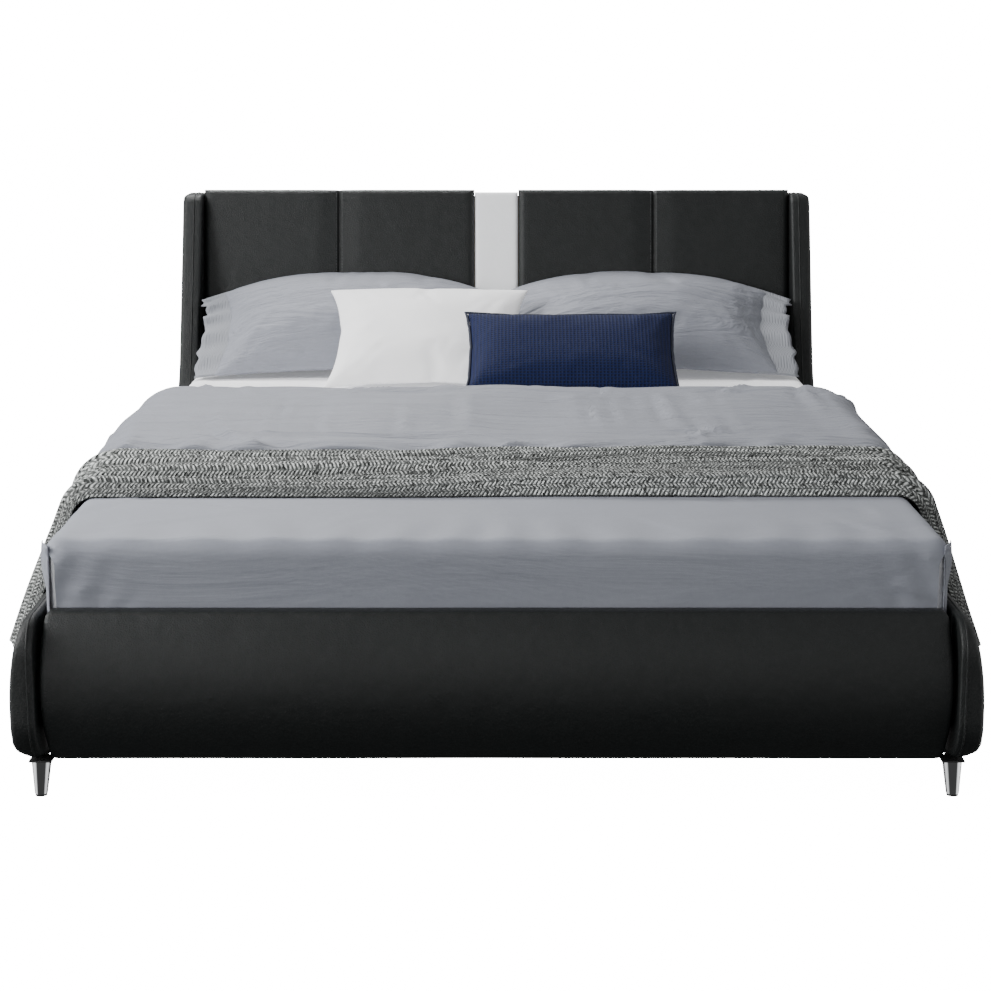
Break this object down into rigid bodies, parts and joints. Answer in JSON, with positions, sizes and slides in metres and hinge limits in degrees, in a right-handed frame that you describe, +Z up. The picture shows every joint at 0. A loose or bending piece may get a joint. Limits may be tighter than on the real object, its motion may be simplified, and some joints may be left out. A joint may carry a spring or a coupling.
{
  "type": "sleigh bed",
  "caption": "Low padded sleigh bed with curved headboard wings, bowed footboard, plated legs, slatted deck, mattress, folded duvet, knitted throw and pillows.",
  "frame": {"origin": "on the floor, under the middle of the overall box", "axes": "+Z up, +Y from the foot end to the headboard, +X to the right of someone who stands at the foot and looks at the headboard"},
  "size_m": [1.71, 2.3397, 0.8706],
  "materials": {
    "black_leatherette": "satin, fine grain, padded",
    "white_leatherette": "satin, fine grain, padded",
    "plywood": "unfinished",
    "pine": "planed, unfinished",
    "black_lining": "non-woven lining",
    "black_steel": "powder coated",
    "chrome_plate": "polished plate",
    "black_plastic": "moulded",
    "zinc_steel": "zinc plated",
    "mattress_ticking": "quilted ticking",
    "blue_grey_cotton": "soft plain weave",
    "white_cotton": "plain weave",
    "flecked_knit": "chunky knit of mixed white, grey and black yarn",
    "grey_cotton": "plain weave with a patterned hem",
    "white_linen": "plain weave",
    "navy_weave": "basket weave with corded edge"
  },
  "bodies": {
    "frame": {"beam_hangers": "black_steel", "bracket_bolts": "zinc_steel", "centre_beam": "black_steel", "centre_leg_1": "black_steel", "centre_leg_2": "black_steel", "corner_bracket_front_left": "black_steel", "corner_bracket_front_right": "black_steel", "corner_bracket_rear_left": "black_steel", "corner_bracket_rear_right": "black_steel", "corner_leg_front_left": "chrome_plate", "corner_leg_front_right": "chrome_plate", "corner_leg_rear_left": "chrome_plate", "corner_leg_rear_right": "chrome_plate", "footboard_board": "plywood", "footboard_cover": "black_leatherette", "footboard_rib_1": "plywood", "footboard_rib_2": "plywood", "footboard_rib_3": "plywood", "headboard_back_cloth": "black_lining", "headboard_board": "plywood", "headboard_centre_strip": "white_leatherette", "headboard_cross_rail": "pine", "headboard_pad_left": "black_leatherette", "headboard_pad_right": "black_leatherette", "headboard_stile_left": "pine", "headboard_stile_right": "pine", "ledger_left": "pine", "ledger_right": "pine", "leg_glides": "black_plastic", "leg_plates": "black_steel", "rail_core_left": "plywood", "rail_core_right": "plywood", "rail_cover_left": "black_leatherette", "rail_cover_right": "black_leatherette", "slat_01": "pine", "slat_02": "pine", "slat_03": "pine", "slat_04": "pine", "slat_05": "pine", "slat_06": "pine", "slat_07": "pine", "slat_08": "pine", "slat_09": "pine", "slat_10": "pine", "wing_core_left": "plywood", "wing_core_right": "plywood", "wing_cover_left": "black_leatherette", "wing_cover_right": "black_leatherette"},
    "mattress": {"mattress": "mattress_ticking", "fitted_sheet": "white_cotton", "coverlet": "blue_grey_cotton"},
    "duvet": {"duvet": "blue_grey_cotton"},
    "throw": {"throw_blanket": "flecked_knit"},
    "bed_pillows": {"pillow_left": "grey_cotton", "pillow_right": "grey_cotton"},
    "white_cushion": {"cushion_white": "white_linen"},
    "navy_cushion": {"cushion_navy": "navy_weave"},
    "levelling_foot_a": {"levelling_foot_1": "black_plastic"},
    "levelling_foot_b": {"levelling_foot_2": "black_plastic"}
  },
  "joints": [
    {"name": "mattress_lift", "type": "slide", "parent": "frame", "child": "mattress", "axis": [0, 0, 1], "range_m": [0, 0.75]},
    {"name": "duvet_lift", "type": "slide", "parent": "mattress", "child": "duvet", "axis": [0, 0, 1], "range_m": [0, 0.4]},
    {"name": "throw_lift", "type": "slide", "parent": "mattress", "child": "throw", "axis": [0, 0, 1], "range_m": [0, 0.4]},
    {"name": "bed_pillows_lift", "type": "slide", "parent": "mattress", "child": "bed_pillows", "axis": [0, 0, 1], "range_m": [0, 0.5]},
    {"name": "white_cushion_lift", "type": "slide", "parent": "bed_pillows", "child": "white_cushion", "axis": [0, -0.6, 0.8], "range_m": [0, 0.45]},
    {"name": "navy_cushion_lift", "type": "slide", "parent": "white_cushion", "child": "navy_cushion", "axis": [0, -0.6, 0.8], "range_m": [0, 0.45]},
    {"name": "levelling_a", "type": "slide", "parent": "frame", "child": "levelling_foot_a", "axis": [0, 0, 1], "range_m": [-0.012, 0]},
    {"name": "levelling_b", "type": "slide", "parent": "frame", "child": "levelling_foot_b", "axis": [0, 0, 1], "range_m": [-0.012, 0]}
  ]
}
